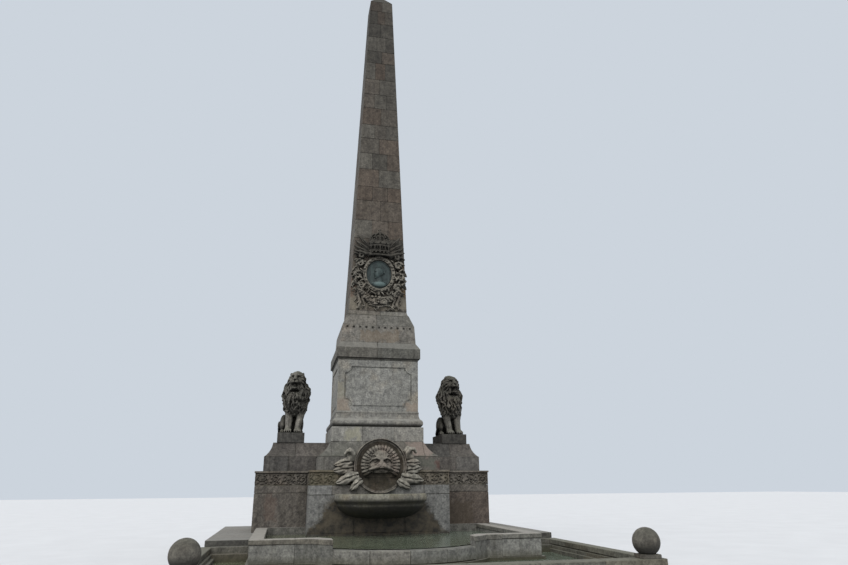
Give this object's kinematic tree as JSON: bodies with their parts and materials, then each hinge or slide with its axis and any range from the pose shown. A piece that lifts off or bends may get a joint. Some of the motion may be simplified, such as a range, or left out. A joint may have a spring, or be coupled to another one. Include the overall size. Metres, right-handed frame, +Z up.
{
  "type": "monumental stone obelisk with a fountain",
  "caption": "Tall tapered stone obelisk on a moulded pedestal, with seated lions on side wings, a carved roundel, a half-round bowl and a two-level basin",
  "frame": {"origin": "on the underside of the masonry, straight below the axis of the shaft", "axes": "+Z up, the fountain front faces -Y, +X to the right seen from the front"},
  "size_m": [11.14, 13.643, 25.662],
  "materials": {
    "pale_coping": "weathered, matte",
    "platform_stone": "weathered, matte",
    "wall_stone": "weathered, matte",
    "pedestal_stone": "weathered, matte",
    "shaft_stone": "weathered, matte",
    "carved_stone": "weathered, matte",
    "mossy_stone": "weathered, matte",
    "patinated_bronze": "dark green patina"
  },
  "bodies": {
    "root": {"basin_coping_left": "pale_coping", "basin_coping_right": "pale_coping", "basin_back": "pale_coping", "pool_rim_front": "pale_coping", "pool_rim_left": "pale_coping", "pool_rim_right": "pale_coping", "platform": "platform_stone", "steps": "platform_stone", "pool_floor": "platform_stone", "basin_floor": "platform_stone", "basin_wall_left": "platform_stone", "basin_wall_right": "platform_stone", "weir": "platform_stone", "ball_left": "platform_stone", "ball_right": "platform_stone", "block_wall": "wall_stone", "block_frieze": "wall_stone", "block_cap": "wall_stone", "wing_wall_left": "wall_stone", "wing_wall_right": "wall_stone", "wing_frieze_left": "wall_stone", "wing_frieze_right": "wall_stone", "wing_cap_left": "wall_stone", "wing_cap_right": "wall_stone", "lion_plinth_left": "wall_stone", "lion_plinth_right": "wall_stone", "plinth": "pedestal_stone", "base_moulding": "pedestal_stone", "die": "pedestal_stone", "tablets": "pedestal_stone", "cornice": "pedestal_stone", "socle": "pedestal_stone", "batter": "pedestal_stone", "shaft_foot": "shaft_stone", "shaft": "shaft_stone", "point": "shaft_stone", "lion_left": "carved_stone", "lion_right": "carved_stone", "roundel": "carved_stone", "mask": "carved_stone", "leaves_left": "carved_stone", "leaves_right": "carved_stone", "medal_frame": "carved_stone", "crown": "carved_stone", "drapery": "carved_stone", "festoon": "carved_stone", "bowl": "mossy_stone", "medal": "patinated_bronze"}
  },
  "joints": []
}
